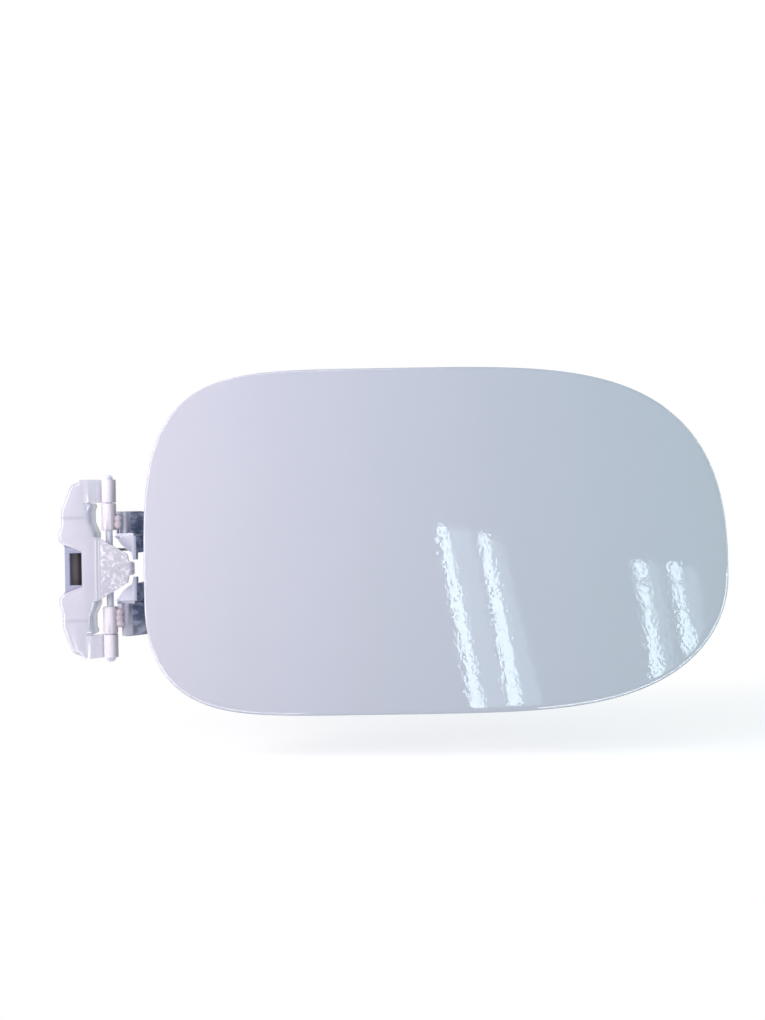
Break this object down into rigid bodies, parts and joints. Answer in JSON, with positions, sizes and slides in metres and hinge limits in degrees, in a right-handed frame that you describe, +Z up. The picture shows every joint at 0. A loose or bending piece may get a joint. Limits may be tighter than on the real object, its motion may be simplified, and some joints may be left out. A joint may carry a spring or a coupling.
{
  "type": "car fuel door",
  "caption": "Painted, crowned fuel filler flap with a hemmed edge on a gooseneck hinge arm, pinned to a pressed sheet bracket with a torsion spring.",
  "frame": {"origin": "on the bracket's seat plane, behind the middle of its latch window", "axes": "+X along the flap from hinge to latch, +Y into the car, +Z up along the hinge pin"},
  "size_m": [0.281, 0.049, 0.1428],
  "materials": {
    "body_paint": "gloss",
    "bare_pin": "satin",
    "spring_wire": "satin",
    "plated_steel": "satin",
    "painted_sealer": "satin",
    "black_rubber": "matte",
    "black_plastic": "satin"
  },
  "bodies": {
    "bracket": {"base_bracket": "body_paint", "hinge_pin": "bare_pin", "torsion_spring": "spring_wire"},
    "flap": {"outer_panel": "body_paint", "inner_panel": "body_paint", "hem_sealer": "painted_sealer", "mastic_upper": "painted_sealer", "mastic_lower": "painted_sealer", "hinge_arm": "body_paint", "weld_upper": "body_paint", "weld_lower": "body_paint", "sleeve_upper": "body_paint", "sleeve_lower": "body_paint", "latch_striker": "plated_steel", "rivet_near": "plated_steel", "rivet_far": "plated_steel", "buffer_upper": "black_rubber", "buffer_lower": "black_rubber", "cap_hook": "black_plastic"}
  },
  "joints": [
    {"name": "flap_hinge", "type": "hinge", "parent": "bracket", "child": "flap", "pos_m": [0.014, -0.0041, 0], "axis": [0, 0, -1], "range_deg": [0, 70], "stiffness_Nm_per_rad": 0.12, "springref_deg": -20.05, "deforming": ["torsion_spring"]}
  ]
}
